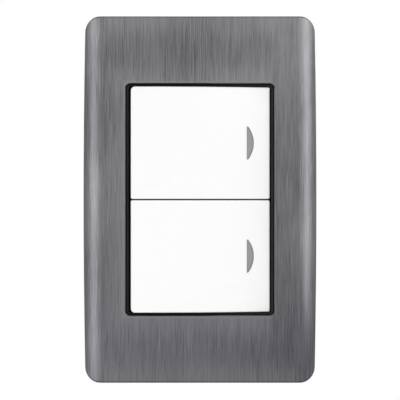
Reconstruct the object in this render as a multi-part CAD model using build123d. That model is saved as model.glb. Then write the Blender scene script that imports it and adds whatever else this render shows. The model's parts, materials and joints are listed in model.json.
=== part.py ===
from build123d import *
import os
from math import cos, radians, sin, sqrt

# Two-gang rocker light switch for a flush wall box, sizes in millimetres and degrees.
# Pieces are drawn with the wall as the XY plane: +X right, +Y up, +Z out of the wall.
# At export they are stood up, so that the finished part has +Z up and its front towards -Y.

# Face plate
plate_width = 75.5
plate_height = 118.0
plate_depth = 9.0
plate_wall = 2.0
plate_corner_radius = 5.0
side_bow = 0.7
roll_width = 6.5
roll_radius = 8.0
plate_edge_round = 0.5
window_corner_radius = 1.6
window_edge_chamfer = 0.3
collar_wall = 1.2
collar_depth = 4.0
plate_rib_wall = 1.0
plate_rib_depth = 3.6
plate_rib_spacing = 18.0
pry_notch_width = 10.0
pry_notch_depth = 1.2

# Snap hooks between the plate and the frame
hook_spread_x = 40.0
hook_spread_y = 98.0
hook_width = 6.0
hook_wall = 1.4
hook_barb = 0.8
hook_fit = 0.15
hook_slot_clearance = 0.3
hook_recess_depth = 1.2

# Rockers
rocker_width = 44.9
rocker_height = 36.1
rocker_gap = 0.4
rocker_skin = 1.6
skirt_wall = 1.4
face_proud = 0.5
crown_radius = 250.0
rocker_edge_round = 0.35
outer_corner_radius = 1.3
inner_corner_radius = 0.5
tilt = 5.0
stop_gap = 0.15
pivot_below_face = 3.5
rocker_rib_wall = 1.0
rocker_rib_depth = 1.6
rocker_rib_spread = 20.0
rocker_rib_start = 12.0

# Indicator insert
mark_length = 10.7
mark_bow_length = 11.8
mark_width = 2.35
mark_inset = 7.6
mark_corner_radius = 0.2
mark_recess = 0.25
mark_fit = 0.04
mark_flange = 1.0
mark_flange_thickness = 0.8

# Mounting frame and bezel
side_reveal = 1.5
end_reveal = 0.95
bezel_fit = 0.12
bezel_side_wall = 0.93
bezel_end_wall = 0.6
bezel_recess = 1.0
bezel_edge_chamfer = 0.25
frame_thickness = 2.4
frame_clearance = 0.8
frame_corner_radius = 4.0
frame_rib_wall = 1.2
frame_rib_height = 1.4
frame_rib_spread = 40.0
ledge_thickness = 1.2
side_ledge = 1.3
end_ledge = 0.93
opening_corner_radius = 1.0
box_screw_spacing = 83.5
box_slot_length = 6.2
box_slot_radius = 2.1
screw_seat_margin = 1.6
screw_seat_depth = 0.6

# Module cover
cover_clearance = 0.3
cover_gap = 0.2
cover_corner_radius = 0.8
post_skirt_gap = 1.0
post_width = 6.4
post_wall = 2.6
post_rise = 0.8
post_round = 0.6
bearing_clearance = 0.06
barrel_slot_clearance = 0.5
barrel_slot_corner = 1.0
latch_wall = 1.0
latch_width = 6.0
latch_spread = 18.0
latch_length = 7.0
latch_barb = 0.9
latch_barb_length = 2.2
latch_barb_lip = 0.4
latch_gap = 0.3
latch_fit = 0.1
clip_wall = 1.1
clip_width = 5.0
clip_spread = 24.0
clip_length = 6.6
clip_barb = 0.8
clip_barb_length = 1.8
clip_barb_lip = 0.4
clip_gap = 0.1

# Cradle under the rocker
shaft_radius = 1.5
saddle_width = 8.0
saddle_drop = 1.6
saddle_round = 0.6
lever_rise = 1.2
end_play = 0.2
wing_reach = 9.0
wing_width = 16.0
wing_thickness = 1.6
wing_corner_radius = 1.0
snap_leg_wall = 1.2
snap_leg_width = 4.0
snap_leg_spread = 9.0
snap_leg_barb = 0.8
snap_leg_tail = 0.7
snap_leg_fit = 0.1
barrel_radius = 3.0
barrel_bore_radius = 2.0
barrel_length = 12.0
bore_roof = 1.8

# Spring and plunger
wire_diameter = 0.45
wire_sides = 4
coil_radius = 1.5
coil_turns = 3
coil_seat_gap = 0.03
plunger_fit = 0.06
plunger_body_length = 5.1
plunger_spigot_radius = 1.1
plunger_spigot_length = 1.5
tip_radius = 1.5
tip_length = 2.6
tip_thickness = 2.0
tip_reach = 15.2
tip_gap = 0.08

# Contact blade and the fork that it rocks on
blade_tilt = 9.0
blade_rise = 2.72
blade_thickness = 0.7
blade_arm_width = 5.0
blade_end_margin = 0.1
blade_stop_clearance = 2.9
blade_stop_width = 6.8
blade_stop_length = 1.4
trough_depth = 0.35
trough_half_width = 1.6
ear_wall = 0.8
ear_spread = 6.0
ear_length = 4.0
fork_radius = 0.8
fork_fit = 0.06
fork_height = 3.2

# Contacts
contact_radius = 1.6
contact_thickness = 0.8
dome_radius = 4.0
fixed_contact_height = 1.05
contact_gap = 0.03

# Brass strips, terminals and clamp screws
strip_thickness = 0.8
strip_width = 5.2
strip_bend_radius = 0.8
strip_overhang = 2.6
strip_step_run = 2.3
block_width = 7.0
block_height = 8.0
block_length = 9.0
block_edge_chamfer = 0.5
block_fit = 0.1
wire_bore_radius = 1.6
wire_bore_depth = 7.5
clamp_screw_radius = 1.45
clamp_screw_fit = 0.05
clamp_screw_length = 1.5
clamp_screw_proud = 1.3
screw_slot_width = 0.8
screw_slot_depth = 0.7

# Module housing
housing_wall = 1.5
housing_floor = 1.6
housing_end_clearance = 0.3
housing_corner_radius = 1.5
housing_back_chamfer = 0.8
partition_wall = 0.9
partition_drop = 1.2
partition_fit = 0.1
chamber_width = 9.2
chamber_wall = 1.2
stop_rib_wall = 1.0
stop_rib_fit = 0.05
wire_hole_clearance = 0.6
screw_hole_clearance = 0.75
clip_window_fit = 0.1
clip_window_clearance = 0.3

# Places that follow from the sizes
module_pitch = rocker_height + rocker_gap
window_width = rocker_width + 2 * side_reveal
window_height = module_pitch + rocker_height + 2 * end_reveal
bezel_width = window_width - 2 * bezel_fit
bezel_height = window_height - 2 * bezel_fit
bezel_corner_radius = window_corner_radius - bezel_fit
bezel_front = plate_depth - bezel_recess
well_width = bezel_width - 2 * bezel_side_wall
well_height = bezel_height - 2 * bezel_end_wall
well_corner_radius = bezel_corner_radius - bezel_end_wall
opening_width = well_width - 2 * side_ledge
opening_height = well_height - 2 * end_ledge
frame_width = plate_width - 2 * (side_bow + plate_wall + frame_clearance)
frame_height = plate_height - 2 * (plate_wall + frame_clearance)
plate_skin_middle = plate_depth - plate_wall / 2
hook_inner = hook_spread_y / 2
hook_outer = hook_inner + hook_wall
face_crown = plate_depth + face_proud
skin_crown = face_crown - rocker_skin
skin_radius = crown_radius - rocker_skin
pivot_height = face_crown - pivot_below_face
end_throw = rocker_width / 2 * sin(radians(tilt))
skirt_room = pivot_height - frame_thickness - stop_gap - end_throw
skirt_bottom = pivot_height - skirt_room / cos(radians(tilt))
mark_edge = rocker_width / 2 - mark_inset
lever_top = pivot_height + lever_rise
wing_bottom = lever_top - wing_thickness
cover_width = well_width - 2 * cover_clearance
cover_height = module_pitch - cover_gap
post_outer = rocker_height / 2 - skirt_wall - post_skirt_gap
post_inner = post_outer - post_wall
barrel_sway = (pivot_height - ledge_thickness) * sin(radians(tilt))
barrel_slot_width = 2 * (barrel_radius + barrel_sway + barrel_slot_clearance)
barrel_slot_height = 2 * (barrel_radius + barrel_slot_clearance)
barrel_end = pivot_height - barrel_length
bore_top = pivot_height - bore_roof
latch_outer = opening_width / 2 - latch_gap
latch_inner = latch_outer - latch_wall
housing_width = 2 * (latch_inner - latch_gap)
housing_height = opening_height - module_pitch - 2 * housing_end_clearance
rail_width = module_pitch - housing_height - 2 * housing_end_clearance
housing_inner_x = housing_width / 2 - housing_wall
housing_inner_y = housing_height / 2 - housing_wall
clip_outer = housing_inner_y - clip_gap
clip_inner = clip_outer - clip_wall
clip_tip = ledge_thickness - clip_length
clip_catch = clip_tip + clip_barb_length
tip_end = pivot_height - tip_reach
plunger_shoulder = tip_end + tip_length + plunger_body_length
blade_axis = tip_end - tip_gap - blade_rise
blade_arm_top = blade_rise + trough_depth
blade_arm_bottom = blade_arm_top - blade_thickness
blade_sin = sin(radians(blade_tilt))
blade_cos = cos(radians(blade_tilt))
terminal_x = housing_inner_x - block_fit - block_width / 2
strip_leg_outer = terminal_x - block_width / 2 - block_fit
strip_leg_middle = strip_leg_outer - strip_thickness / 2
strip_step_x = strip_step_run - strip_leg_middle
partition_outer = strip_leg_outer - strip_thickness - partition_fit
chamber_half = partition_outer - partition_wall
contact_face = blade_arm_bottom - contact_thickness
dome_x = strip_step_x + strip_thickness / 2 + contact_radius
touch_x = dome_x - blade_sin * (dome_radius + contact_gap)
contact_reach = -(touch_x + blade_sin * contact_face) / blade_cos
blade_contact_reach = contact_reach + contact_radius + blade_end_margin
blade_stop_reach = chamber_half - blade_stop_clearance
touch_z = blade_axis + blade_cos * contact_face - blade_sin * contact_reach
dome_z = touch_z - blade_cos * (dome_radius + contact_gap)
pad_top = dome_z + dome_radius - fixed_contact_height
pad_bottom = pad_top - strip_thickness
floor_top = blade_axis - fork_height - strip_thickness
floor_bottom = floor_top - housing_floor
strip_floor_middle = floor_top + strip_thickness / 2
block_top = floor_top + block_length
strip_top_middle = block_top + strip_thickness / 2
clamp_screw_z = floor_top + block_length / 2


def bar(x_limits, y_limits, z_limits):
    """Square bar between two limits along each axis."""
    size = [high - low for low, high in (x_limits, y_limits, z_limits)]
    middle = [(high + low) / 2 for low, high in (x_limits, y_limits, z_limits)]
    return Pos(*middle) * Box(*size)


def about(half):
    """Limits that lie the same distance on both sides of the middle."""
    return (-half, half)


def rounded_slab(width, height, radius, bottom, top):
    """Slab with rounded corners, flat against the wall plane."""
    return Pos(0, 0, bottom) * extrude(RectangleRounded(width, height, radius), top - bottom)


def side_profile(points, y_limits):
    """Profile given as (x, z) points, drawn out between two limits along Y."""
    face = Plane.XZ * make_face(Polyline(*points, close=True))
    return Pos(0, y_limits[1], 0) * extrude(face, y_limits[1] - y_limits[0])


def end_profile(points, x_limits):
    """Profile given as (y, z) points, drawn out between two limits along X."""
    face = Plane.YZ * make_face(Polyline(*points, close=True))
    return Pos(x_limits[0], 0, 0) * extrude(face, x_limits[1] - x_limits[0])


def four_corners(shape):
    """The shape with its mirror images across both middle planes."""
    pair = [shape, mirror(shape, Plane.YZ)]
    return pair + [mirror(one, Plane.XZ) for one in pair]


def joined(body, extras):
    """Body with every extra fused to it."""
    for extra in extras:
        body = body + extra
    return body


def relieved(body, cuts):
    """Body with every cut taken out of it."""
    for cut in cuts:
        body = body - cut
    return body


def edges_between(first_faces, second_faces):
    """Edges that two groups of faces share."""
    second_edges = second_faces.edges()
    return ShapeList([e for e in first_faces.edges() if any(e.is_same(other) for other in second_edges)])


def plate_outline(inset):
    """Front outline of the plate with bowed long sides, drawn in by the inset."""
    half_width = plate_width / 2 - inset
    end_half_width = half_width - side_bow
    half_height = plate_height / 2 - inset
    right = ThreePointArc((end_half_width, -half_height), (half_width, 0), (end_half_width, half_height))
    left = ThreePointArc((-end_half_width, half_height), (-half_width, 0), (-end_half_width, -half_height))
    top = Line((end_half_width, half_height), (-end_half_width, half_height))
    bottom = Line((-end_half_width, -half_height), (end_half_width, -half_height))
    face = make_face(right + top + left + bottom)
    return fillet(face.vertices(), plate_corner_radius - inset)


def plate_roof(inset):
    """Solid under the plate's front, whose long sides roll over, drawn in by the inset."""
    radius = roll_radius - inset
    width = plate_width - 2 * roll_width + 2 * radius
    section = Pos(0, (plate_depth - inset) / 2) * Rectangle(width, plate_depth - inset)
    section = fillet(section.vertices().group_by(Axis.Y)[-1], radius)
    return extrude(Plane.XZ * section, plate_height / 2, both=True)


def plate_shell():
    """Hollow plate with a rounded front rim."""
    outer = extrude(plate_outline(0), plate_depth) & plate_roof(0)
    walls = outer.faces().filter_by(lambda face: abs(face.normal_at().Z) < sin(radians(1)))
    front = outer.faces().filter_by(lambda face: face.normal_at().Z > sin(radians(1)))
    outer = fillet(edges_between(front, walls), plate_edge_round)
    return outer - (extrude(plate_outline(plate_wall), plate_depth) & plate_roof(plate_wall))


def plate_hook():
    """Snap hook behind the upper right part of the plate."""
    catch = hook_recess_depth - hook_fit
    points = [
        (hook_inner, plate_skin_middle),
        (hook_inner, hook_fit),
        (hook_outer, hook_fit),
        (hook_outer + hook_barb, catch - hook_barb / 2),
        (hook_outer + hook_barb, catch),
        (hook_outer, catch),
        (hook_outer, plate_skin_middle),
    ]
    middle = hook_spread_x / 2
    return end_profile(points, (middle - hook_width / 2, middle + hook_width / 2))


def plate_ribs():
    """Stiffening ribs between the window collar and the plate's ends."""
    bottom = plate_depth - plate_rib_depth
    y_limits = (window_height / 2 + collar_wall / 2, plate_height / 2 - plate_wall / 2)
    ribs = []
    for x in (-plate_rib_spacing / 2, plate_rib_spacing / 2):
        x_limits = (x - plate_rib_wall / 2, x + plate_rib_wall / 2)
        upper = bar(x_limits, y_limits, (bottom, plate_skin_middle))
        ribs.extend([upper, mirror(upper, Plane.XZ)])
    return ribs


def make_face_plate():
    """Push-fit face plate with its window, collar, hooks and ribs."""
    collar = rounded_slab(
        window_width + 2 * collar_wall,
        window_height + 2 * collar_wall,
        window_corner_radius + collar_wall,
        plate_depth - collar_depth,
        plate_skin_middle,
    )
    plate = joined(plate_shell() + collar, plate_ribs())
    plate = plate - rounded_slab(window_width, window_height, window_corner_radius, 0, plate_depth)
    rim = plate.edges().filter_by_position(Axis.Z, plate_depth, plate_depth)
    rim = rim.filter_by(lambda edge: abs(edge.center().X) < window_width / 2 + window_edge_chamfer)
    rim = rim.filter_by(lambda edge: abs(edge.center().Y) < window_height / 2 + window_edge_chamfer)
    plate = chamfer(rim, window_edge_chamfer)
    plate = joined(plate, four_corners(plate_hook()))
    notch_y = (-plate_height / 2, -plate_height / 2 + plate_wall)
    return plate - bar(about(pry_notch_width / 2), notch_y, (0, pry_notch_depth))


def box_slot(radius, bottom, top):
    """Upright slot for the upper wall-box screw."""
    outline = SlotOverall(box_slot_length + 2 * (radius - box_slot_radius), 2 * radius, rotation=90)
    return Pos(0, box_screw_spacing / 2, bottom) * extrude(outline, top - bottom)


def hook_slot():
    """Cut for the upper right plate hook: a slot in front and a wider recess behind."""
    middle = hook_spread_x / 2
    half = hook_width / 2 + hook_slot_clearance
    x_limits = (middle - half, middle + half)
    inner = hook_inner - hook_slot_clearance
    slot = bar(x_limits, (inner, hook_outer + hook_fit), (0, frame_thickness))
    recess_y = (inner, hook_outer + hook_barb + hook_slot_clearance)
    return slot + bar(x_limits, recess_y, (0, hook_recess_depth))


def frame_ribs():
    """Raised rim of the frame and the ribs from it to the bezel."""
    top = frame_thickness + frame_rib_height
    rim = rounded_slab(frame_width, frame_height, frame_corner_radius, frame_thickness, top)
    inner_width = frame_width - 2 * frame_rib_wall
    inner_height = frame_height - 2 * frame_rib_wall
    inner_radius = frame_corner_radius - frame_rib_wall
    rim = rim - rounded_slab(inner_width, inner_height, inner_radius, frame_thickness, top)
    x_limits = ((bezel_width - bezel_side_wall) / 2, frame_width / 2 - frame_rib_wall / 2)
    y_limits = (frame_rib_spread / 2, frame_rib_spread / 2 + frame_rib_wall)
    return [rim] + four_corners(bar(x_limits, y_limits, (frame_thickness, top)))


def make_mounting_frame():
    """Frame that is screwed to the wall box, with the bezel that shows round the rockers."""
    base = rounded_slab(frame_width, frame_height, frame_corner_radius, 0, frame_thickness)
    bezel = rounded_slab(bezel_width, bezel_height, bezel_corner_radius, 0, bezel_front)
    frame = joined(base + bezel, frame_ribs())
    frame = frame - rounded_slab(well_width, well_height, well_corner_radius, ledge_thickness, bezel_front)
    frame = frame - rounded_slab(opening_width, opening_height, opening_corner_radius, 0, bezel_front)
    frame = frame + bar(about(well_width / 2), about(rail_width / 2), (0, ledge_thickness))
    front_edges = frame.edges().filter_by_position(Axis.Z, bezel_front, bezel_front)
    frame = chamfer(front_edges, bezel_edge_chamfer)
    seat_radius = box_slot_radius + screw_seat_margin
    seat = box_slot(seat_radius, frame_thickness - screw_seat_depth, frame_thickness)
    seat = seat - rounded_slab(bezel_width, bezel_height, bezel_corner_radius, 0, bezel_front)
    slot = box_slot(box_slot_radius, 0, frame_thickness) + seat
    return relieved(frame, [slot, mirror(slot, Plane.XZ)] + four_corners(hook_slot()))


def bearing_post():
    """Upper post of the cover, with an open bearing that the shaft snaps into."""
    top = pivot_height + post_rise
    z_middle = (frame_thickness + top) / 2
    section = Pos(0, z_middle) * Rectangle(post_width, top - frame_thickness)
    section = fillet(section.vertices().group_by(Axis.Y)[-1], post_round)
    section = section - Pos(0, pivot_height) * Circle(shaft_radius + bearing_clearance)
    return Pos(0, post_outer, 0) * extrude(Plane.XZ * section, post_wall)


def frame_latch():
    """Upper right latch of the cover, hooked behind the mounting frame."""
    points = [
        (latch_inner, ledge_thickness),
        (latch_inner, ledge_thickness - latch_length),
        (latch_outer, ledge_thickness - latch_length),
        (latch_outer, -latch_fit - latch_barb_length),
        (latch_outer + latch_barb, -latch_fit - latch_barb_lip),
        (latch_outer + latch_barb, -latch_fit),
        (latch_outer, -latch_fit),
        (latch_outer, ledge_thickness),
    ]
    middle = latch_spread / 2
    return side_profile(points, (middle - latch_width / 2, middle + latch_width / 2))


def housing_clip():
    """Upper right clip of the cover, caught in a window of the housing."""
    points = [
        (clip_inner, ledge_thickness),
        (clip_inner, clip_tip),
        (clip_outer, clip_tip),
        (clip_outer + clip_barb, clip_catch - clip_barb_lip),
        (clip_outer + clip_barb, clip_catch),
        (clip_outer, clip_catch),
        (clip_outer, ledge_thickness),
    ]
    middle = clip_spread / 2
    return end_profile(points, (middle - clip_width / 2, middle + clip_width / 2))


def make_cover():
    """Front cover of a module, with the rocker's bearings, the latches and the clips."""
    flange = rounded_slab(cover_width, cover_height, cover_corner_radius, ledge_thickness, frame_thickness)
    slot = rounded_slab(barrel_slot_width, barrel_slot_height, barrel_slot_corner, 0, frame_thickness)
    posts = [bearing_post(), mirror(bearing_post(), Plane.XZ)]
    return joined(flange - slot, posts + four_corners(frame_latch()) + four_corners(housing_clip()))


def crowned_block(width, height, crown, radius, bottom):
    """Block whose top is arched across its width."""
    half = width / 2
    edge = crown - radius + sqrt(radius**2 - half**2)
    arch = ThreePointArc((-half, edge), (0, crown), (half, edge))
    sides = Polyline((half, edge), (half, bottom), (-half, bottom), (-half, edge))
    return extrude(Plane.XZ * make_face(arch + sides), height / 2, both=True)


def under_skin(drop):
    """Space under the rocker's skin, lowered by the drop."""
    width = rocker_width - 2 * skirt_wall
    height = rocker_height - 2 * skirt_wall
    return crowned_block(width, height, skin_crown - drop, skin_radius - drop, 0)


def mark_outline(growth):
    """Outline of the D-shaped indicator with blunt ends, grown by an even margin."""
    half = mark_bow_length / 2
    back = Line((mark_edge, half), (mark_edge, -half))
    bow = ThreePointArc((mark_edge, -half), (mark_edge + mark_width, 0), (mark_edge, half))
    outline = make_face(back + bow) & Pos(mark_edge, 0) * Rectangle(2 * mark_width, mark_length)
    outline = fillet(outline.vertices(), mark_corner_radius)
    return offset(outline, growth) if growth else outline


def snap_leg():
    """Upper right leg under the rocker, hooked below the cradle's wing."""
    inner = wing_reach + snap_leg_fit
    catch = wing_bottom - snap_leg_fit
    points = [
        (inner, skin_crown),
        (inner, catch),
        (inner - snap_leg_barb, catch),
        (inner, catch - snap_leg_tail),
        (inner + snap_leg_wall, catch - snap_leg_tail),
        (inner + snap_leg_wall, skin_crown),
    ]
    middle = snap_leg_spread / 2
    return side_profile(points, (middle - snap_leg_width / 2, middle + snap_leg_width / 2))


def rocker_ribs():
    """Ribs under the rocker: two that sit on the cradle's wings and four towards the ends."""
    seat_x = ((saddle_width + rocker_rib_wall) / 2, (saddle_width + 3 * rocker_rib_wall) / 2)
    seat = bar(seat_x, about(wing_width / 2), (lever_top, face_crown))
    rib_y = ((rocker_rib_spread - rocker_rib_wall) / 2, (rocker_rib_spread + rocker_rib_wall) / 2)
    rib_x = (rocker_rib_start, rocker_width / 2 - skirt_wall)
    rib = bar(rib_x, rib_y, (skin_crown - rocker_rib_depth, face_crown))
    return [seat, mirror(seat, Plane.YZ)] + four_corners(rib)


def make_rocker(outer_side):
    """Rocker cap in mid travel; its left corner on the outer side is the rounder one."""
    outline = Rectangle(rocker_width, rocker_height)
    corners = outline.vertices().sort_by(lambda corner: corner.Y * outer_side - corner.X)
    outline = fillet(corners[:-1], inner_corner_radius)
    corner = outline.vertices().sort_by(lambda point: point.Y * outer_side - point.X)[-1]
    outline = fillet(corner, outer_corner_radius)
    cap = crowned_block(rocker_width, rocker_height, face_crown, crown_radius, skirt_bottom)
    cap = cap & extrude(outline, face_crown)
    cap = fillet(cap.faces().sort_by(Axis.Z)[-1].edges(), rocker_edge_round)
    cap = cap - under_skin(0)
    inside = [extra & under_skin(-rocker_skin / 2) for extra in rocker_ribs() + four_corners(snap_leg())]
    return joined(cap, inside) - extrude(mark_outline(0), face_crown)


def make_indicator():
    """D-shaped insert, set just below the rocker's face and held by a flange under its skin."""
    crown = face_crown - mark_recess
    face = crowned_block(rocker_width, rocker_height, crown, crown_radius - mark_recess, 0)
    pin = extrude(mark_outline(-mark_fit), face_crown) & (face - under_skin(mark_flange_thickness))
    ring = under_skin(mark_fit) - under_skin(mark_flange_thickness)
    return pin + (extrude(mark_outline(mark_flange), face_crown) & ring)


def make_cradle():
    """Lever under the rocker: saddle with wings, pivot shaft and spring barrel."""
    saddle_y = about(post_inner - end_play)
    saddle = bar(about(saddle_width / 2), saddle_y, (pivot_height - saddle_drop, lever_top))
    saddle = fillet(saddle.edges().filter_by(Axis.Y), saddle_round)
    wings = rounded_slab(2 * wing_reach, wing_width, wing_corner_radius, wing_bottom, lever_top)
    shaft = Pos(0, 0, pivot_height) * Rot(90, 0, 0) * Cylinder(shaft_radius, 2 * post_outer)
    barrel = Pos(0, 0, (barrel_end + pivot_height) / 2) * Cylinder(barrel_radius, barrel_length)
    bore = Pos(0, 0, (barrel_end + bore_top) / 2) * Cylinder(barrel_bore_radius, bore_top - barrel_end)
    return saddle + wings + shaft + barrel - bore


def make_spring():
    """Compression spring between the roof of the bore and the plunger's shoulder."""
    inset = coil_seat_gap + wire_diameter / 2
    length = bore_top - plunger_shoulder - 2 * inset
    path = Helix(length / coil_turns, length, coil_radius, center=(0, 0, plunger_shoulder + inset))
    wire = Plane(path @ 0, z_dir=path % 0) * RegularPolygon(wire_diameter / 2, wire_sides)
    return sweep(wire, path, is_frenet=True)


def make_plunger():
    """Turned pin with a spigot inside the spring, a body in the bore and a flat tongue with a round tip."""
    body_radius = barrel_bore_radius - plunger_fit
    body_bottom = tip_end + tip_length
    round_z = tip_end + tip_radius
    body_middle = (body_bottom + plunger_shoulder) / 2
    body = Pos(0, 0, body_middle) * Cylinder(body_radius, plunger_body_length)
    spigot_middle = plunger_shoulder + plunger_spigot_length / 2
    spigot = Pos(0, 0, spigot_middle) * Cylinder(plunger_spigot_radius, plunger_spigot_length)
    tongue = Pos(0, (round_z + body_bottom) / 2) * Rectangle(2 * tip_radius, body_bottom - round_z)
    tongue = tongue + Pos(0, round_z) * Circle(tip_radius)
    return body + spigot + extrude(Plane.XZ * tongue, tip_thickness / 2, both=True)


def blade_sheet(x_limits, width):
    """Length of the blade's sheet between two limits, with the trough that the plunger crosses."""
    top = [
        (-blade_contact_reach, blade_arm_top),
        (-trough_half_width, blade_arm_top),
        (0, blade_rise),
        (trough_half_width, blade_arm_top),
        (blade_stop_reach, blade_arm_top),
    ]
    under = [(x, z - blade_thickness) for x, z in reversed(top)]
    sheet = side_profile(top + under, about(width / 2))
    return sheet & bar(x_limits, about(width), (0, 2 * blade_arm_top))


def make_contact_blade():
    """See-saw blade in mid travel, with two ears that sit on the fork; its axis is the origin."""
    outer = ear_spread + 2 * ear_wall
    arms = blade_sheet((-blade_contact_reach, blade_stop_reach), blade_arm_width)
    shoulders = blade_sheet(about(ear_length / 2), outer)
    stop = blade_sheet((blade_stop_reach - blade_stop_length, blade_stop_reach), blade_stop_width)
    ear_y = (ear_spread / 2, outer / 2)
    ear = bar(about(ear_length / 2), ear_y, (0, blade_arm_top - blade_thickness / 2 - trough_depth / 2))
    blade = arms + shoulders + stop + ear + mirror(ear, Plane.XZ)
    return blade - Rot(90, 0, 0) * Cylinder(fork_radius + fork_fit, outer)


def make_moving_contact():
    """Silver button under the blade's long arm; the blade's axis is the origin."""
    middle = contact_face + contact_thickness / 2
    return Pos(-contact_reach, 0, middle) * Cylinder(contact_radius, contact_thickness)


def make_fixed_contact():
    """Silver button on the load strip, crowned across the blade."""
    head_top = dome_z + dome_radius
    head = Pos(0, 0, (pad_top + head_top) / 2) * Cylinder(contact_radius, head_top - pad_top)
    crown = Pos(0, 0, dome_z) * Rot(90, 0, 0) * Cylinder(dome_radius, 4 * contact_radius)
    return Pos(dome_x, 0, 0) * (head & crown)


def folded_strip(points):
    """Brass strip folded along a centre line of (x, z) points."""
    line = FilletPolyline(*points, radius=strip_bend_radius)
    return extrude(Plane.XZ * trace(line, strip_thickness), strip_width / 2, both=True)


def make_load_strip():
    """Strip from the fixed contact, under the partition and up onto the load terminal."""
    pad_middle = pad_top - strip_thickness / 2
    points = [
        (dome_x + contact_radius, pad_middle),
        (strip_step_x, pad_middle),
        (strip_step_x, strip_floor_middle),
        (-strip_leg_middle, strip_floor_middle),
        (-strip_leg_middle, strip_top_middle),
        (-terminal_x - strip_overhang, strip_top_middle),
    ]
    return folded_strip(points)


def make_common_strip():
    """Strip with the fork that the blade rocks on, under the partition and onto the common terminal."""
    points = [
        (-ear_length / 2, strip_floor_middle),
        (strip_leg_middle, strip_floor_middle),
        (strip_leg_middle, strip_top_middle),
        (terminal_x + strip_overhang, strip_top_middle),
    ]
    outer = ear_spread / 2 + ear_wall
    foot = bar(about(ear_length / 2), about(outer), (floor_top, floor_top + strip_thickness))
    shank = Pos(0, (floor_top + blade_axis) / 2) * Rectangle(2 * fork_radius, blade_axis - floor_top)
    prong = Plane.XZ * (shank + Pos(0, blade_axis) * Circle(fork_radius))
    prong = Pos(0, outer, 0) * extrude(prong, ear_wall)
    return folded_strip(points) + foot + prong + mirror(prong, Plane.XZ)


def make_terminal(side):
    """Brass tunnel block with a wire bore from behind and a clamp-screw hole from its outer side."""
    middle = (floor_top + block_top) / 2
    block = Pos(0, 0, middle) * Box(block_width, block_height, block_length)
    block = chamfer(block.faces().sort_by(Axis.Z)[-1].edges(), block_edge_chamfer)
    bore = Pos(0, 0, floor_top + wire_bore_depth / 2) * Cylinder(wire_bore_radius, wire_bore_depth)
    thread = Cylinder(clamp_screw_radius + clamp_screw_fit, block_width / 2)
    thread = Pos(side * block_width / 4, 0, clamp_screw_z) * Rot(0, 90, 0) * thread
    return Pos(side * terminal_x, 0, 0) * (block - bore - thread)


def make_screw(side):
    """Slotted clamp screw of a terminal."""
    middle = (clamp_screw_proud - clamp_screw_length) / 2
    pin = Pos(0, 0, middle) * Cylinder(clamp_screw_radius, clamp_screw_length + clamp_screw_proud)
    slot_middle = clamp_screw_proud - screw_slot_depth / 2
    slot = Pos(0, 0, slot_middle) * Box(screw_slot_width, 2 * clamp_screw_radius, screw_slot_depth)
    outer_face = side * (terminal_x + block_width / 2)
    return Pos(outer_face, 0, clamp_screw_z) * Rot(0, side * 90, 0) * (pin - slot)


def housing_hollows():
    """Rooms inside the housing: contact chamber, terminal pockets, side rooms and space over the blocks."""
    side_inner = chamber_width / 2 + chamber_wall
    pocket_half = block_height / 2 + block_fit
    z_limits = (floor_top, ledge_thickness)
    chamber = bar(about(chamber_half), about(chamber_width / 2), z_limits)
    pocket = bar((partition_outer, housing_inner_x), about(pocket_half), z_limits)
    side_room = bar(about(housing_inner_x), (side_inner, housing_inner_y), z_limits)
    over = bar(about(housing_inner_x), about(pocket_half), (block_top - partition_drop, ledge_thickness))
    strip_room = (floor_top, floor_top + 2 * strip_thickness)
    pass_under = bar(about(partition_outer), about(strip_width / 2), strip_room)
    rooms = [chamber, pocket, mirror(pocket, Plane.YZ), side_room, mirror(side_room, Plane.XZ)]
    return rooms + [over, pass_under]


def housing_holes():
    """Wire holes in the back, screw holes in the sides and windows for the clips."""
    wire_radius = wire_bore_radius + wire_hole_clearance
    wire = Pos(terminal_x, 0, floor_bottom + housing_floor / 2) * Cylinder(wire_radius, housing_floor)
    access = Cylinder(clamp_screw_radius + screw_hole_clearance, housing_wall)
    access = Pos(housing_width / 2 - housing_wall / 2, 0, clamp_screw_z) * Rot(0, 90, 0) * access
    half = clip_width / 2 + clip_window_clearance
    window_x = (clip_spread / 2 - half, clip_spread / 2 + half)
    window_z = (clip_tip - clip_window_clearance, clip_catch + clip_window_fit)
    window = bar(window_x, (housing_inner_y, housing_height / 2), window_z)
    pairs = [wire, mirror(wire, Plane.YZ), access, mirror(access, Plane.YZ)]
    return pairs + four_corners(window)


def blade_stop():
    """Upper rib in the chamber that the blade's short arm lands on when the switch is off."""
    x_limits = (blade_stop_reach - stop_rib_wall, blade_stop_reach)
    reach = (x_limits[1] - blade_sin * blade_arm_bottom) / blade_cos
    top = blade_axis + blade_cos * blade_arm_bottom - blade_sin * reach - stop_rib_fit
    return bar(x_limits, (strip_width / 2 + partition_fit, chamber_width / 2), (floor_top, top))


def make_housing():
    """Box behind the wall that holds the contacts and the terminals."""
    box = rounded_slab(housing_width, housing_height, housing_corner_radius, floor_bottom, ledge_thickness)
    box = chamfer(box.faces().sort_by(Axis.Z)[0].edges(), housing_back_chamfer)
    box = relieved(box, housing_hollows() + housing_holes())
    ledge_x = (dome_x - contact_radius + strip_thickness, dome_x + contact_radius)
    ledge = bar(ledge_x, about(chamber_width / 2), (floor_top, pad_bottom))
    return joined(box, [ledge, blade_stop(), mirror(blade_stop(), Plane.XZ)])


def tilted(shape):
    """Shape turned with the rocker to its rest position, right end pressed in."""
    return Pos(0, 0, pivot_height) * Rot(0, tilt, 0) * Pos(0, 0, -pivot_height) * shape


def rocked(shape):
    """Shape turned with the blade to its rest position, contacts closed."""
    return Pos(0, 0, blade_axis) * Rot(0, -blade_tilt, 0) * shape


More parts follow.
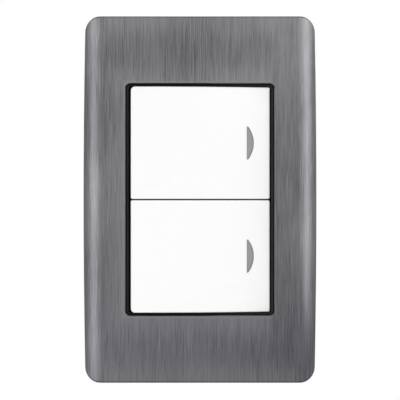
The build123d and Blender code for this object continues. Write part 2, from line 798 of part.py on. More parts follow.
def make_module(outer_side):
    """Pieces of one module, centred on the middle of the plate."""
    return {
        "rocker": tilted(make_rocker(outer_side)),
        "indicator": tilted(make_indicator()),
        "cradle": tilted(make_cradle()),
        "spring": tilted(make_spring()),
        "plunger": tilted(make_plunger()),
        "contact_blade": rocked(make_contact_blade()),
        "moving_contact": rocked(make_moving_contact()),
        "fixed_contact": make_fixed_contact(),
        "load_strip": make_load_strip(),
        "common_strip": make_common_strip(),
        "load_terminal": make_terminal(-1),
        "common_terminal": make_terminal(1),
        "load_screw": make_screw(-1),
        "common_screw": make_screw(1),
        "cover": make_cover(),
        "housing": make_housing(),
    }


def save(name, shape):
    """Stand the piece upright and write it."""
    export_step(Rot(90, 0, 0) * shape, f"parts/{name}.step")


os.makedirs("parts", exist_ok=True)
save("face_plate", make_face_plate())
save("mounting_frame", make_mounting_frame())
for place, outer_side in (("upper", 1), ("lower", -1)):
    for name, shape in make_module(outer_side).items():
        save(f"{place}_{name}", Pos(0, outer_side * module_pitch / 2, 0) * shape)
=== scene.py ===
"""Two-gang rocker light switch: finishes, fine turned pieces, studio and camera."""

import json
import logging
import math
from dataclasses import dataclass, field
from enum import Enum

import bmesh
import bpy
from mathutils import Matrix, Vector

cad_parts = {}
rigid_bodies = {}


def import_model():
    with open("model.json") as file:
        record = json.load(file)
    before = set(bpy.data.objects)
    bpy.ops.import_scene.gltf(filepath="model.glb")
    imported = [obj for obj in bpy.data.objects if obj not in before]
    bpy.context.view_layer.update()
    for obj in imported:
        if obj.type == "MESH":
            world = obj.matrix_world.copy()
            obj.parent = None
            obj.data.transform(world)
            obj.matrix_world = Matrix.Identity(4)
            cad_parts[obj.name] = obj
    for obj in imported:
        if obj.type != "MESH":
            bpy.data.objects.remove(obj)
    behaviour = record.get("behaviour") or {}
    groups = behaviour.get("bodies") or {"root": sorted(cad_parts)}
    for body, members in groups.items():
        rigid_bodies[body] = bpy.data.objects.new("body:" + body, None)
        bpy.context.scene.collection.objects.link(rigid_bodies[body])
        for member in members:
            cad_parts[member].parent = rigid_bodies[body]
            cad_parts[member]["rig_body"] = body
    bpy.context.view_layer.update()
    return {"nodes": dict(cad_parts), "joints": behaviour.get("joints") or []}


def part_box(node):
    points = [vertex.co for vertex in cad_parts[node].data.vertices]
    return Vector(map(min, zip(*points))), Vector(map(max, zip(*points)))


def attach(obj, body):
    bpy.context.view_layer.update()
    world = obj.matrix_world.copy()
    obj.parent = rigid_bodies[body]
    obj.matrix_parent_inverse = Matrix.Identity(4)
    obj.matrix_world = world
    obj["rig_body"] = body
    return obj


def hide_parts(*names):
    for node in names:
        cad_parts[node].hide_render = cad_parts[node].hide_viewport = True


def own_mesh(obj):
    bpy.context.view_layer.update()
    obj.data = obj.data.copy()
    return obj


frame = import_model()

LOG = logging.getLogger("light_switch")

Triple = tuple[float, float, float]
Color = Triple
Range = tuple[float, float]

PATTERN_SPAN: Range = (0.3, 0.7)
MERGE_DISTANCE = 1.0e-7
LEVEL_TOLERANCE = 1.0e-6
SMOOTH_ANGLE = math.radians(32)
RIM_ANGLE = 1.0


class Shader:
    """Node material in the making, with short calls that add and join its nodes."""

    def __init__(self, name: str) -> None:
        """Start a material that has only its main shader.

        Args:
            name: Name of the material.
        """
        self.material = bpy.data.materials.new(name)
        self.material.use_nodes = True
        self.nodes = self.material.node_tree.nodes
        self.links = self.material.node_tree.links
        self.surface = self.nodes["Principled BSDF"]

    def fix(self, socket: str, value: float) -> None:
        """Set a socket of the main shader that is the same all over the surface."""
        self.surface.inputs[socket].default_value = value

    def drive(self, socket: str, source: bpy.types.NodeSocket) -> None:
        """Let a pattern set a socket of the main shader."""
        self.links.new(source, self.surface.inputs[socket])

    def noise(
        self,
        density: Triple,
        detail: float = 2.0,
        rough: float = 0.5,
        start: Triple = (0.0, 0.0, 0.0),
    ) -> bpy.types.NodeSocket:
        """Add a noise on the piece's own coordinates.

        Args:
            density: Features per metre along each axis.
            detail: Number of finer layers.
            rough: Weight of the finer layers.
            start: Place in the noise at which the piece's origin lies.

        Returns:
            The noise value, about 0 to 1.
        """
        place = self.nodes.new("ShaderNodeTexCoord")
        stretch = self.nodes.new("ShaderNodeMapping")
        stretch.inputs["Location"].default_value = start
        stretch.inputs["Scale"].default_value = density
        noise = self.nodes.new("ShaderNodeTexNoise")
        noise.inputs["Scale"].default_value = 1.0
        noise.inputs["Detail"].default_value = detail
        noise.inputs["Roughness"].default_value = rough
        self.links.new(place.outputs["Object"], stretch.inputs["Vector"])
        self.links.new(stretch.outputs["Vector"], noise.inputs["Vector"])
        return noise.outputs["Fac"]

    def blend(
        self, first: bpy.types.NodeSocket, second: bpy.types.NodeSocket, share: float
    ) -> bpy.types.NodeSocket:
        """Blend two patterns.

        Args:
            first: Pattern that has the rest of the weight.
            second: Pattern that has the share.
            share: Weight of the second pattern.

        Returns:
            The blended value.
        """
        mix = self.nodes.new("ShaderNodeMix")
        mix.inputs["Factor"].default_value = share
        self.links.new(first, mix.inputs["A"])
        self.links.new(second, mix.inputs["B"])
        return mix.outputs["Result"]

    def shade(
        self, value: bpy.types.NodeSocket, dark: Color, light: Color, span: Range = PATTERN_SPAN
    ) -> bpy.types.NodeSocket:
        """Turn a pattern into a colour.

        Args:
            value: Pattern to read.
            dark: Colour at the low end of the span.
            light: Colour at the high end of the span.
            span: Part of the pattern that the two colours cover.

        Returns:
            The colour.
        """
        ramp = self.nodes.new("ShaderNodeValToRGB")
        for stop, place, color in zip(ramp.color_ramp.elements, span, (dark, light)):
            stop.position = place
            stop.color = (*color, 1.0)
        self.links.new(value, ramp.inputs["Fac"])
        return ramp.outputs["Color"]

    def tint(
        self,
        color: bpy.types.NodeSocket,
        strength: bpy.types.NodeSocket,
        level: bpy.types.NodeSocket,
    ) -> bpy.types.NodeSocket:
        """Make a colour stronger or greyer, and lighter or darker.

        Args:
            color: Colour to change.
            strength: Pattern that multiplies how strong the colour is.
            level: Pattern that multiplies how light it is.

        Returns:
            The changed colour.
        """
        change = self.nodes.new("ShaderNodeHueSaturation")
        self.links.new(strength, change.inputs["Saturation"])
        self.links.new(level, change.inputs["Value"])
        self.links.new(color, change.inputs["Color"])
        return change.outputs["Color"]

    def own_axes(self) -> tuple[bpy.types.NodeSocket, ...]:
        """Read the place of each point on the piece.

        Returns:
            The piece's own coordinates in metres, one value for each axis.
        """
        place = self.nodes.new("ShaderNodeTexCoord")
        split = self.nodes.new("ShaderNodeSeparateXYZ")
        self.links.new(place.outputs["Object"], split.inputs["Vector"])
        return tuple(split.outputs)

    def math(self, operation: str, *terms: bpy.types.NodeSocket | float) -> bpy.types.NodeSocket:
        """Combine patterns and numbers.

        Args:
            operation: Name of the operation.
            terms: Patterns or numbers, in order.

        Returns:
            The result.
        """
        node = self.nodes.new("ShaderNodeMath")
        node.operation = operation
        for socket, term in zip(node.inputs, terms):
            if isinstance(term, float):
                socket.default_value = term
            else:
                self.links.new(term, socket)
        return node.outputs["Value"]

    def spread(
        self,
        value: bpy.types.NodeSocket,
        target: Range,
        span: Range = PATTERN_SPAN,
        smooth: bool = False,
    ) -> bpy.types.NodeSocket:
        """Map a pattern to a range of numbers.

        Args:
            value: Pattern to read.
            target: Numbers at the two ends of the span.
            span: Part of the pattern that is mapped.
            smooth: Whether the change eases in and out.

        Returns:
            The number.
        """
        remap = self.nodes.new("ShaderNodeMapRange")
        remap.interpolation_type = "SMOOTHSTEP" if smooth else "LINEAR"
        limits = (*span, *target)
        for socket, limit in zip(("From Min", "From Max", "To Min", "To Max"), limits):
            remap.inputs[socket].default_value = limit
        self.links.new(value, remap.inputs["Value"])
        return remap.outputs["Result"]

    def relief(self, height: bpy.types.NodeSocket, strength: float, depth: float) -> None:
        """Let a pattern bend the surface's normal.

        Args:
            height: Pattern that stands for the height.
            strength: How strongly the normal follows it.
            depth: Height in metres between the pattern's 0 and 1.
        """
        bump = self.nodes.new("ShaderNodeBump")
        bump.inputs["Strength"].default_value = strength
        bump.inputs["Distance"].default_value = depth
        self.links.new(height, bump.inputs["Height"])
        self.links.new(bump.outputs["Normal"], self.surface.inputs["Normal"])


@dataclass(frozen=True)
class BrushedMetal:
    """Metal skin with straight brush lines that run up and down.

    Densities are features per metre. Places and reaches are metres in the switch's own frame.
    Lifts are added to the pattern that the colour follows.
    """

    name: str
    dark: Color
    light: Color
    roughness: Range
    anisotropy: float
    line_density: float = 6500.0
    line_run: float = 120.0
    line_depth: float = 2.0e-6
    line_relief: float = 0.35
    band_width: float = 9.0
    band_length: float = 3.0
    band_share: float = 0.15
    stray_density: Triple = (5200.0, 5200.0, 80.0)
    stray_start: Triple = (7.3, 2.9, 4.1)
    stray_pale: float = 0.27
    stray_pale_span: Range = (0.60, 0.72)
    stray_deep: float = 0.15
    stray_deep_span: Range = (0.28, 0.40)
    cloud_density: Triple = (34.0, 34.0, 20.0)
    # The start places the slow clouds so that, besides random tone, they paint light and shade
    # across the plate, darker towards the lower right.
    painted_light_cloud_start: Triple = (-19.62, 25.36, 10.64)
    cloud_share: float = 0.36
    # Painted light: the window and ends that the painted lifts follow, their reaches and their
    # strengths.
    window: Range = (0.02395, 0.03725)
    end: float = 0.059
    rim_reach: float = 0.009
    end_reach: float = 0.010
    end_span: Range = (0.0285, 0.0335)
    painted_lift: float = 0.128
    painted_highlight_span: Range = (0.0003, 0.0013)
    painted_highlight_lift: float = 0.16
    rimmed_end: Range = (0.0225, 0.0237)
    plain_start: Range = (0.0243, 0.0262)
    painted_right_lift: float = 0.07
    plain_foot: Range = (-0.048, -0.012)
    # Painted reflection tint and painted light towards the plate's foot.
    tint_foot: Range = (-0.046, -0.022)
    tint_strength: Range = (1.7, 0.85)
    painted_foot_lift: Range = (1.07, 1.0)
    tint_patches: float = 0.3

    def painted_light_lift(self, shader: Shader) -> bpy.types.NodeSocket:
        """Paint light into the plate's colour: a painted reflection round the window with a
        painted highlight on its edge, and painted light at the ends and on the right.

        The right-hand side of the window has no lighter rim, only an even lift that fades
        towards its foot, and the lift at the two ends stays between the rolled sides.

        Args:
            shader: Material in the making.

        Returns:
            A value that is 0 on plain brushing and rises where light is painted.
        """
        across, _, up = shader.own_axes()
        from_middle = shader.math("ABSOLUTE", across)
        from_waist = shader.math("ABSOLUTE", up)
        beside = shader.math("SUBTRACT", from_middle, self.window[0])
        above = shader.math("SUBTRACT", from_waist, self.window[1])
        from_window = shader.math("MAXIMUM", beside, above)
        # Painted reflection: lighter within rim_reach of the window.
        rim = shader.spread(from_window, (self.painted_lift, 0.0), (0.0, self.rim_reach), smooth=True)
        # Painted highlight along the window's rounded edge.
        painted_highlight = shader.spread(from_window, (self.painted_highlight_lift, 0.0), self.painted_highlight_span, smooth=True)
        rimmed_side = shader.spread(across, (1.0, 0.0), self.rimmed_end, smooth=True)
        around = shader.math("MULTIPLY", shader.math("ADD", rim, painted_highlight), rimmed_side)
        # Painted light on the right-hand side, fading towards the foot.
        plain_side = shader.spread(across, (0.0, self.painted_right_lift), self.plain_start, smooth=True)
        above_foot = shader.spread(up, (0.0, 1.0), self.plain_foot)
        plain_side = shader.math("MULTIPLY", plain_side, above_foot)
        from_end = shader.math("SUBTRACT", self.end, from_waist)
        # Painted light towards the two ends, between the rolled sides.
        end = shader.spread(from_end, (self.painted_lift, 0.0), (0.0, self.end_reach), smooth=True)
        between_rolls = shader.spread(from_middle, (1.0, 0.0), self.end_span, smooth=True)
        end = shader.math("MULTIPLY", end, between_rolls)
        return shader.math("MAXIMUM", shader.math("ADD", around, plain_side), end)

    def stray_lines(self, shader: Shader) -> bpy.types.NodeSocket:
        """Scatter single lines that are paler or deeper than the rest.

        Args:
            shader: Material in the making.

        Returns:
            A value that is above 0 on pale lines and below 0 on deep ones.
        """
        stray = shader.noise(self.stray_density, detail=1.0, start=self.stray_start)
        pale = shader.spread(stray, (0.0, self.stray_pale), self.stray_pale_span)
        deep = shader.spread(stray, (-self.stray_deep, 0.0), self.stray_deep_span)
        return shader.math("ADD", pale, deep)

    def painted_reflection_tint(
        self, shader: Shader, color: bpy.types.NodeSocket, cloud: bpy.types.NodeSocket
    ) -> bpy.types.NodeSocket:
        """Paint a reflected tint: deeper towards the foot and in the clouds' patches, with painted
        light towards the foot.

        Args:
            shader: Material in the making.
            color: Colour to tint.
            cloud: Pattern of the patches.

        Returns:
            The tinted colour.
        """
        up = shader.own_axes()[2]
        depth = shader.spread(up, self.tint_strength, self.tint_foot, smooth=True)
        patches = shader.spread(cloud, (self.tint_patches, -self.tint_patches))
        # Painted light: lighter towards the foot.
        level = shader.spread(up, self.painted_foot_lift, self.tint_foot, smooth=True)
        return shader.tint(color, shader.math("ADD", depth, patches), level)

    def material(self) -> bpy.types.Material:
        """Make the material.

        Returns:
            The material, with brush lines, bands, stray lines, clouds that also paint light and
            shade, painted light at its edges and a painted reflection tint.
        """
        shader = Shader(self.name)
        hairlines = (self.line_density, self.line_density, self.line_run)
        width = self.line_density / self.band_width
        bands = (width, width, self.line_run / self.band_length)
        hairline = shader.noise(hairlines, rough=0.6)
        grain = shader.blend(hairline, shader.noise(bands), self.band_share)
        # Slow clouds of random tone, placed so that they also paint light and shade.
        cloud = shader.noise(self.cloud_density, detail=1.0, start=self.painted_light_cloud_start)
        tone = shader.blend(grain, cloud, self.cloud_share)
        # Painted light round the window, at the ends and on the right.
        tone = shader.math("ADD", tone, self.painted_light_lift(shader))
        tone = shader.math("ADD", tone, self.stray_lines(shader))
        color = shader.shade(tone, self.dark, self.light)
        shader.drive("Base Color", self.painted_reflection_tint(shader, color, cloud))
        shader.drive("Roughness", shader.spread(grain, self.roughness))
        shader.relief(hairline, self.line_relief, self.line_depth)
        shader.fix("Metallic", 1.0)
        shader.fix("Anisotropic", self.anisotropy)
        return shader.material


@dataclass(frozen=True)
class MouldedPlastic:
    """Moulded plastic with slow colour drift and a fine surface grain."""

    name: str
    dark: Color
    light: Color
    roughness: Range
    grain_density: float
    grain_depth: float
    drift_density: float = 60.0
    drift_detail: float = 3.0
    color_grain: float = 0.3
    gloss_grain: float = 1.0
    grain_relief: float = 0.4
    specular: float = 0.5
    scatter: float = 0.0
    scatter_reach: float = 0.001

    def tone(
        self, shader: Shader, drift: bpy.types.NodeSocket, grain: bpy.types.NodeSocket
    ) -> bpy.types.NodeSocket:
        """Give the pattern that the colour follows.

        Args:
            shader: Material in the making.
            drift: Slow pattern.
            grain: Fine pattern.

        Returns:
            The pattern, about 0 to 1.
        """
        return shader.blend(drift, grain, self.color_grain)

    def material(self) -> bpy.types.Material:
        """Make the material.

        Returns:
            The material, with drift and grain in its colour and gloss, and grain in its relief.
        """
        shader = Shader(self.name)
        drift = shader.noise((self.drift_density,) * 3, detail=self.drift_detail)
        grain = shader.noise((self.grain_density,) * 3, rough=0.6)
        tone = self.tone(shader, drift, grain)
        gloss = shader.blend(drift, grain, self.gloss_grain)
        shader.drive("Base Color", shader.shade(tone, self.dark, self.light))
        shader.drive("Roughness", shader.spread(gloss, self.roughness))
        shader.relief(grain, self.grain_relief, self.grain_depth)
        shader.fix("Specular IOR Level", self.specular)
        shader.fix("Subsurface Weight", self.scatter)
        shader.fix("Subsurface Scale", self.scatter_reach)
        return shader.material


@dataclass(frozen=True)
class MarkPlastic(MouldedPlastic):
    """Grey plastic of the indicators, with a painted shadow along the bow where it drops to the
    rocker.
    """

    bow_centre: Range = (0.00875, 0.01825)
    bow_radius: float = 0.00858
    rim_width: float = 0.00070
    painted_bow_shadow: float = 0.33
    face_tone: Range = (0.6, 0.7)

    def tone(
        self, shader: Shader, drift: bpy.types.NodeSocket, grain: bpy.types.NodeSocket
    ) -> bpy.types.NodeSocket:
        """Give the pattern that the colour follows, with the painted shadow along the bow.

        Args:
            shader: Material in the making.
            drift: Slow pattern.
            grain: Fine pattern.

        Returns:
            The pattern, about 0 to 1.
        """
        across, _, up = shader.own_axes()
        beside = shader.math("SUBTRACT", across, self.bow_centre[0])
        above = shader.math("SUBTRACT", shader.math("ABSOLUTE", up), self.bow_centre[1])
        across_square = shader.math("MULTIPLY", beside, beside)
        up_square = shader.math("MULTIPLY", above, above)
        from_centre = shader.math("SQRT", shader.math("ADD", across_square, up_square))
        rim = (self.bow_radius - self.rim_width, self.bow_radius)
        # Painted shadow: darker within rim_width of the bow's edge.
        shade = shader.spread(from_centre, (0.0, -self.painted_bow_shadow), rim, smooth=True)
        face = shader.spread(super().tone(shader, drift, grain), self.face_tone)
        return shader.math("ADD", face, shade)


@dataclass(frozen=True)
class StampedMetal:
    """Bare metal from a strip or bar, with rolling lines and a light tarnish."""

    name: str
    dark: Color
    light: Color
    roughness: Range
    line_density: Triple = (900.0, 120.0, 900.0)
    line_depth: float = 3.0e-6
    line_relief: float = 0.25
    tarnish_density: float = 260.0
    color_lines: float = 0.35
    gloss_tarnish: float = 0.4

    def material(self) -> bpy.types.Material:
        """Make the material.

        Returns:
            The material, with rolling lines and patches of tarnish in its colour and gloss.
        """
        shader = Shader(self.name)
        lines = shader.noise(self.line_density, detail=3.0, rough=0.6)
        tarnish = shader.noise((self.tarnish_density,) * 3, detail=4.0, rough=0.6)
        tone = shader.blend(tarnish, lines, self.color_lines)
        gloss = shader.blend(lines, tarnish, self.gloss_tarnish)
        shader.drive("Base Color", shader.shade(tone, self.dark, self.light))
        shader.drive("Roughness", shader.spread(gloss, self.roughness))
        shader.relief(lines, self.line_relief, self.line_depth)
        shader.fix("Metallic", 1.0)
        return shader.material


class Finish(Enum):
    """Finishes of the switch."""

    GUNMETAL = BrushedMetal(
        "gunmetal_brushed_lines",
        dark=(0.0576, 0.0571, 0.0604),
        light=(0.1323, 0.1313, 0.1382),
        roughness=(0.27, 0.355),
        anisotropy=0.9,
    )
    WHITE = MouldedPlastic(
        "rocker_white",
        dark=(0.8555, 0.8555, 0.853),
        light=(0.8605, 0.8605, 0.858),
        roughness=(0.25, 0.29),
        grain_density=2600.0,
        grain_depth=4.0e-7,
        drift_density=20.0,
        drift_detail=0.0,
        gloss_grain=0.1,
    )
    BLACK = MouldedPlastic(
        "frame_black",
        dark=(0.0105, 0.0105, 0.0110),
        light=(0.0145, 0.0145, 0.0150),
        roughness=(0.42, 0.56),
        grain_density=5200.0,
        grain_depth=8.0e-6,
        specular=0.1,
    )
    MARK = MarkPlastic(
        "mark_grey",
        dark=(0.160, 0.160, 0.161),
        light=(0.254, 0.254, 0.255),
        roughness=(0.32, 0.42),
        grain_density=2400.0,
        grain_depth=5.0e-6,
    )
    HOUSING = MouldedPlastic(
        "housing_grey",
        dark=(0.52, 0.53, 0.53),
        light=(0.60, 0.61, 0.61),
        roughness=(0.42, 0.56),
        grain_density=4200.0,
        grain_depth=9.0e-6,
    )
    ACETAL = MouldedPlastic(
        "acetal_natural",
        dark=(0.74, 0.72, 0.66),
        light=(0.82, 0.80, 0.75),
        roughness=(0.28, 0.40),
        grain_density=1800.0,
        grain_depth=6.0e-6,
        scatter=0.1,
    )
    BRASS = StampedMetal(
        "brass_strip",
        dark=(0.56, 0.39, 0.16),
        light=(0.74, 0.55, 0.26),
        roughness=(0.22, 0.38),
    )
    SILVER = StampedMetal(
        "contact_silver_alloy",
        dark=(0.70, 0.69, 0.66),
        light=(0.86, 0.85, 0.82),
        roughness=(0.26, 0.40),
    )
    SPRING = StampedMetal(
        "spring_wire_steel",
        dark=(0.34, 0.34, 0.35),
        light=(0.52, 0.52, 0.53),
        roughness=(0.24, 0.36),
    )
    ZINC = StampedMetal(
        "screw_zinc_plate",
        dark=(0.46, 0.47, 0.48),
        light=(0.66, 0.67, 0.68),
        roughness=(0.26, 0.42),
    )

    def material(self) -> bpy.types.Material:
        """Give the finish's material, made once."""
        return bpy.data.materials.get(self.value.name) or self.value.material()


class Place(Enum):
    """The two modules of the switch."""

    UPPER = "upper"
    LOWER = "lower"


class Glow(Enum):
    """What a lamp is for."""

    ALL = "all"
    SOFT_LIGHT = "soft light"
    REFLECTION = "reflection"


class Side(Enum):
    """The two terminals of a module, each with the way along X in which its screw points."""

    LOAD = -1.0
    COMMON = 1.0


def dress(node: str, finish: Finish) -> None:
    """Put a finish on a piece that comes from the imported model.

    Args:
        node: Name of the piece.
        finish: Finish to put on it.
    """
    for slot in frame["nodes"][node].material_slots:
        slot.material = finish.material()
    LOG.info("%s dressed in %s", node, finish.value.name)


def add_piece(
    name: str, mesh: bmesh.types.BMesh, node: str, finish: Finish
) -> bpy.types.Object:
    """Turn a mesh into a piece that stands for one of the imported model's pieces.

    Args:
        name: Name of the new piece.
        mesh: Its shape, in the switch's own frame; it is used up.
        node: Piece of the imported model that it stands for, and whose body it rides.
        finish: Finish to put on it.

    Returns:
        The new piece.
    """
    bmesh.ops.remove_doubles(mesh, verts=mesh.verts, dist=MERGE_DISTANCE)
    bmesh.ops.recalc_face_normals(mesh, faces=mesh.faces)
    data = bpy.data.meshes.new(name)
    mesh.to_mesh(data)
    mesh.free()
    data.shade_smooth()
    data.set_sharp_from_angle(angle=SMOOTH_ANGLE)
    data.materials.append(finish.material())
    piece = bpy.data.objects.new(name, data)
    bpy.context.scene.collection.objects.link(piece)
    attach(piece, frame["nodes"][node]["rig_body"])
    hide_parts(node)
    LOG.info("%s built with %d faces in %s", name, len(data.polygons), finish.value.name)
    return piece


@dataclass
class FacePlate:
    """Push-fit face plate."""

    node: str = "face_plate"

    def build(self) -> None:
        """Dress the plate."""
        dress(self.node, Finish.GUNMETAL)


@dataclass
class MountingFrame:
    """Frame behind the plate, whose bezel shows round the rockers."""

    node: str = "mounting_frame"

    def build(self) -> None:
        """Dress the frame."""
        dress(self.node, Finish.BLACK)


@dataclass
class CoilSpring:
    """Compression spring of round wire in the rocker's barrel."""

    place: Place
    wire_diameter: float = 0.00045
    coil_radius: float = 0.0015
    turns: int = 5
    steps_per_turn: int = 24
    wire_sides: int = 10

    def wind(self, length: float) -> bmesh.types.BMesh:
        """Wind the wire round Z, with the middle of the spring at the origin.

        Args:
            length: Distance along Z between the middles of the wire's two ends.

        Returns:
            The wire, closed at both ends.
        """
        mesh = bmesh.new()
        ring = bmesh.ops.create_circle(
            mesh, segments=self.wire_sides, radius=self.wire_diameter / 2
        )
        start = Matrix.Translation((self.coil_radius, 0, -length / 2))
        upright = Matrix.Rotation(math.pi / 2, 4, "X")
        bmesh.ops.transform(mesh, matrix=start @ upright, verts=ring["verts"])
        steps = self.turns * self.steps_per_turn
        bmesh.ops.spin(
            mesh,
            geom=mesh.verts[:] + mesh.edges[:],
            axis=(0, 0, 1),
            dvec=(0, 0, length / steps),
            angle=math.tau * self.turns,
            steps=steps,
        )
        bmesh.ops.holes_fill(mesh, edges=[edge for edge in mesh.edges if edge.is_boundary])
        return mesh

    def build(self) -> None:
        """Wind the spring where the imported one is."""
        node = f"{self.place.value}_spring"
        slide = f"{self.place.value}_plunger_slide"
        joint = next(entry for entry in frame["joints"] if entry["name"] == slide)
        axis = Vector(joint["axis"]).normalized()
        low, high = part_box(node)
        middle = (low + high) / 2
        reach = high.y - low.y - 2 * self.coil_radius * abs(axis.x)
        length = reach / abs(axis.y) - self.wire_diameter
        mesh = self.wind(length)
        turn = axis.to_track_quat("Z", "X").to_matrix().to_4x4()
        bmesh.ops.transform(mesh, matrix=Matrix.Translation(middle) @ turn, verts=mesh.verts)
        piece = add_piece(f"{node}_wire", mesh, node, Finish.SPRING)
        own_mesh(piece)


@dataclass
class ClampScrew:
    """Slotted set screw that clamps the wire in a terminal."""

    place: Place
    side: Side
    thread_pitch: float = 0.0005
    thread_depth: float = 0.00024
    slot_width: float = 0.0008
    slot_depth: float = 0.0007
    slot_turn: float = math.radians(25)
    rim: float = 0.00018
    rim_segments: int = 2
    segments: int = 40

    def turned_body(self, radius: float, length: float) -> bmesh.types.BMesh:
        """Turn the threaded body up to the floor of its slot.

        Args:
            radius: Outer radius of the thread.
            length: Whole length of the screw.

        Returns:
            The body with its axis on Z and its inner end at 0.
        """
        floor = length - self.slot_depth
        turns = int((floor - self.thread_pitch) / self.thread_pitch)
        outline = [(0.0, 0.0), (radius - self.thread_depth, 0.0)]
        for turn in range(turns):
            outline.append((radius, (turn + 0.5) * self.thread_pitch))
            outline.append((radius - self.thread_depth, (turn + 1.0) * self.thread_pitch))
        outline += [(radius, (turns + 0.5) * self.thread_pitch), (radius, floor), (0.0, floor)]
        mesh = bmesh.new()
        points = [mesh.verts.new((across, 0.0, height)) for across, height in outline]
        edges = [mesh.edges.new(pair) for pair in zip(points, points[1:])]
        bmesh.ops.spin(
            mesh,
            geom=points + edges,
            axis=(0, 0, 1),
            angle=math.tau,
            steps=self.segments,
            use_merge=True,
        )
        bmesh.ops.remove_doubles(mesh, verts=mesh.verts, dist=MERGE_DISTANCE)
        return mesh

    def raise_lands(self, mesh: bmesh.types.BMesh, length: float) -> None:
        """Raise the two half-moons beside the slot and break their rims.

        Args:
            mesh: Body of the screw, whose top is the slot's floor.
            length: Whole length of the screw.
        """
        half = self.slot_width / 2
        for offset in (-half, half):
            whole = mesh.verts[:] + mesh.edges[:] + mesh.faces[:]
            bmesh.ops.bisect_plane(mesh, geom=whole, plane_co=(offset, 0, 0), plane_no=(1, 0, 0))
        floor = length - self.slot_depth - LEVEL_TOLERANCE
        lands = [
            face
            for face in mesh.faces
            if min(vert.co.z for vert in face.verts) > floor
            and abs(face.calc_center_median().x) > half
        ]
        raised = bmesh.ops.extrude_face_region(mesh, geom=lands)["geom"]
        tops = [item for item in raised if isinstance(item, bmesh.types.BMVert)]
        bmesh.ops.translate(mesh, vec=(0, 0, self.slot_depth), verts=tops)
        covered = [face for face in lands if face.is_valid]
        bmesh.ops.delete(mesh, geom=covered, context="FACES_KEEP_BOUNDARY")
        top = length - LEVEL_TOLERANCE
        rims = [
            edge
            for edge in mesh.edges
            if min(vert.co.z for vert in edge.verts) > top
            and not edge.is_boundary
            and edge.calc_face_angle(0.0) > RIM_ANGLE
        ]
        bmesh.ops.bevel(
            mesh,
            geom=rims,
            offset=self.rim,
            segments=self.rim_segments,
            profile=0.5,
            affect="EDGES",
            material=-1,
        )

    def build(self) -> None:
        """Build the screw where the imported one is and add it."""
        node = f"{self.place.value}_{self.side.name.lower()}_screw"
        low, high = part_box(node)
        length = high.x - low.x
        mesh = self.turned_body((high.z - low.z) / 2, length)
        self.raise_lands(mesh, length)
        inner_x = (low.x + high.x - self.side.value * length) / 2
        inner_end = Vector((inner_x, (low.y + high.y) / 2, (low.z + high.z) / 2))
        lay = Matrix.Rotation(self.side.value * math.pi / 2, 4, "Y")
        turn = lay @ Matrix.Rotation(self.slot_turn, 4, "Z")
        bmesh.ops.transform(mesh, matrix=Matrix.Translation(inner_end) @ turn, verts=mesh.verts)
        add_piece(f"{node}_threaded", mesh, node, Finish.ZINC)


@dataclass
class RockerModule:
    """One switch module: rocker, lever, contacts, terminals and housing."""

    place: Place
    finishes: dict[str, Finish] = field(
        default_factory=lambda: {
            "rocker": Finish.WHITE,
            "indicator": Finish.MARK,
            "cover": Finish.BLACK,
            "housing": Finish.HOUSING,
            "cradle": Finish.ACETAL,
            "plunger": Finish.ACETAL,
            "spring": Finish.SPRING,
            "contact_blade": Finish.BRASS,
            "moving_contact": Finish.SILVER,
            "fixed_contact": Finish.SILVER,
            "load_strip": Finish.BRASS,
            "common_strip": Finish.BRASS,
            "load_terminal": Finish.BRASS,
            "common_terminal": Finish.BRASS,
            "load_screw": Finish.ZINC,
            "common_screw": Finish.ZINC,
        }
    )

    def build(self) -> None:
        """Dress the module's pieces, then wind its spring and turn its screws."""
        for piece, finish in self.finishes.items():
            dress(f"{self.place.value}_{piece}", finish)
        CoilSpring(self.place).build()
        for side in Side:
            ClampScrew(self.place, side).build()


@dataclass(frozen=True)
class Lamp:
    """Soft rectangular lamp."""

    name: str
    place: Triple
    aim: Triple
    size: Range
    radiance: float
    glow: Glow = Glow.ALL


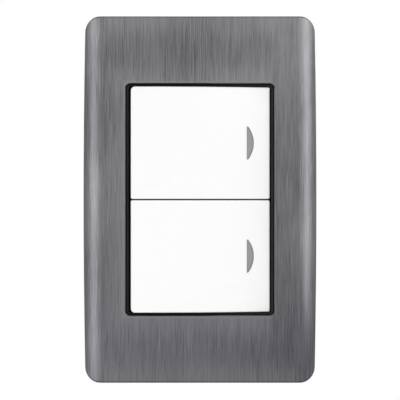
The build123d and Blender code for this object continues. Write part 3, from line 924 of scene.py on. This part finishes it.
@dataclass
class Studio:
    """Plain floor, white surroundings, soft lamps and the camera."""

    floor_drop: float = 0.17
    floor_radius: float = 0.45
    floor_sides: int = 96
    floor_dark: Color = (0.788, 0.788, 0.788)
    floor_light: Color = (0.80, 0.80, 0.80)
    floor_clouds: float = 9.0
    floor_roughness: float = 0.8
    room_level: float = 0.50
    camera_distance: float = 0.459
    camera_height: float = -0.00014
    lens: float = 125.9
    sensor_width: float = 36.0
    clip: Range = (0.01, 20.0)
    lamps: tuple[Lamp, ...] = (
        Lamp(
            "left_strip",
            place=(-0.55, -0.48, 0.12),
            aim=(0.0, 0.0, 0.12),
            size=(0.16, 0.52),
            radiance=9.5,
            glow=Glow.REFLECTION,
        ),
        Lamp(
            "right_strip",
            place=(0.57, -0.455, 0.18),
            aim=(0.0, 0.0, 0.18),
            size=(0.16, 0.54),
            radiance=11.6,
            glow=Glow.REFLECTION,
        ),
        Lamp(
            "left_glow",
            place=(-0.55, -0.80, -0.05),
            aim=(0.0, 0.0, 0.0),
            size=(0.45, 0.80),
            radiance=1.35,
            glow=Glow.REFLECTION,
        ),
        Lamp(
            "right_glow",
            place=(0.45, -0.85, 0.36),
            aim=(0.0, 0.0, 0.0),
            size=(0.50, 0.50),
            radiance=2.05,
            glow=Glow.REFLECTION,
        ),
        Lamp(
            "front_box",
            place=(0.0, -1.00, 0.06),
            aim=(0.0, 0.0, 0.0),
            size=(0.90, 0.60),
            radiance=3.67,
            glow=Glow.SOFT_LIGHT,
        ),
        Lamp(
            "back_box",
            place=(0.0, 1.0, 0.35),
            aim=(0.0, 0.0, 0.0),
            size=(1.10, 0.80),
            radiance=2.0,
        ),
    )

    def lay_floor(self) -> None:
        """Lay a round pale floor below the switch."""
        mesh = bmesh.new()
        bmesh.ops.create_circle(
            mesh, cap_ends=True, segments=self.floor_sides, radius=self.floor_radius
        )
        bmesh.ops.translate(mesh, vec=(0, 0, -self.floor_drop), verts=mesh.verts)
        data = bpy.data.meshes.new("floor")
        mesh.to_mesh(data)
        mesh.free()
        floor = bpy.data.objects.new("floor", data)
        bpy.context.scene.collection.objects.link(floor)
        shader = Shader("floor_pale")
        cloud = shader.noise((self.floor_clouds,) * 3, detail=3.0)
        shader.drive("Base Color", shader.shade(cloud, self.floor_dark, self.floor_light))
        shader.fix("Roughness", self.floor_roughness)
        data.materials.append(shader.material)

    def light_room(self) -> None:
        """Make the surroundings white to the camera and to reflections, and softer as light."""
        world = bpy.data.worlds.new("room")
        world.use_nodes = True
        bpy.context.scene.world = world
        nodes, links = world.node_tree.nodes, world.node_tree.links
        background = nodes["Background"]
        background.inputs["Color"].default_value = (1.0, 1.0, 1.0, 1.0)
        path = nodes.new("ShaderNodeLightPath")
        seen = path.outputs["Is Camera Ray"]
        for kind in ("Is Glossy Ray", "Is Transmission Ray"):
            either = nodes.new("ShaderNodeMath")
            either.operation = "MAXIMUM"
            links.new(seen, either.inputs[0])
            links.new(path.outputs[kind], either.inputs[1])
            seen = either.outputs["Value"]
        level = nodes.new("ShaderNodeMapRange")
        level.inputs["To Min"].default_value = self.room_level
        level.inputs["To Max"].default_value = 1.0
        links.new(seen, level.inputs["Value"])
        links.new(level.outputs["Result"], background.inputs["Strength"])

    def hang_lamp(self, lamp: Lamp) -> None:
        """Hang a soft rectangular lamp.

        Args:
            lamp: Lamp to hang.
        """
        data = bpy.data.lights.new(lamp.name, "AREA")
        data.shape = "RECTANGLE"
        data.size, data.size_y = lamp.size
        data.energy = lamp.radiance * math.pi * lamp.size[0] * lamp.size[1]
        hung = bpy.data.objects.new(lamp.name, data)
        hung.location = lamp.place
        beam = Vector(lamp.aim) - Vector(lamp.place)
        hung.rotation_euler = beam.to_track_quat("-Z", "Y").to_euler()
        hung.visible_diffuse = lamp.glow is not Glow.REFLECTION
        hung.visible_glossy = lamp.glow is not Glow.SOFT_LIGHT
        bpy.context.scene.collection.objects.link(hung)

    def set_camera(self) -> None:
        """Set the camera straight in front of the plate."""
        data = bpy.data.cameras.new("front_camera")
        data.lens = self.lens
        data.sensor_width = self.sensor_width
        data.clip_start, data.clip_end = self.clip
        camera = bpy.data.objects.new("front_camera", data)
        camera.location = (0.0, -self.camera_distance, self.camera_height)
        camera.rotation_euler = (math.pi / 2, 0.0, 0.0)
        bpy.context.scene.collection.objects.link(camera)
        bpy.context.scene.camera = camera

    def build(self) -> None:
        """Build the studio."""
        self.lay_floor()
        self.light_room()
        for lamp in self.lamps:
            self.hang_lamp(lamp)
        self.set_camera()
        bpy.context.scene.view_settings.view_transform = "Standard"
        LOG.info("studio built")


def main() -> None:
    """Build the switch, then the studio."""
    logging.basicConfig(level=logging.INFO, format="%(name)s: %(message)s")
    FacePlate().build()
    MountingFrame().build()
    for place in Place:
        RockerModule(place).build()
    Studio().build()


if __name__ == "__main__":
    main()
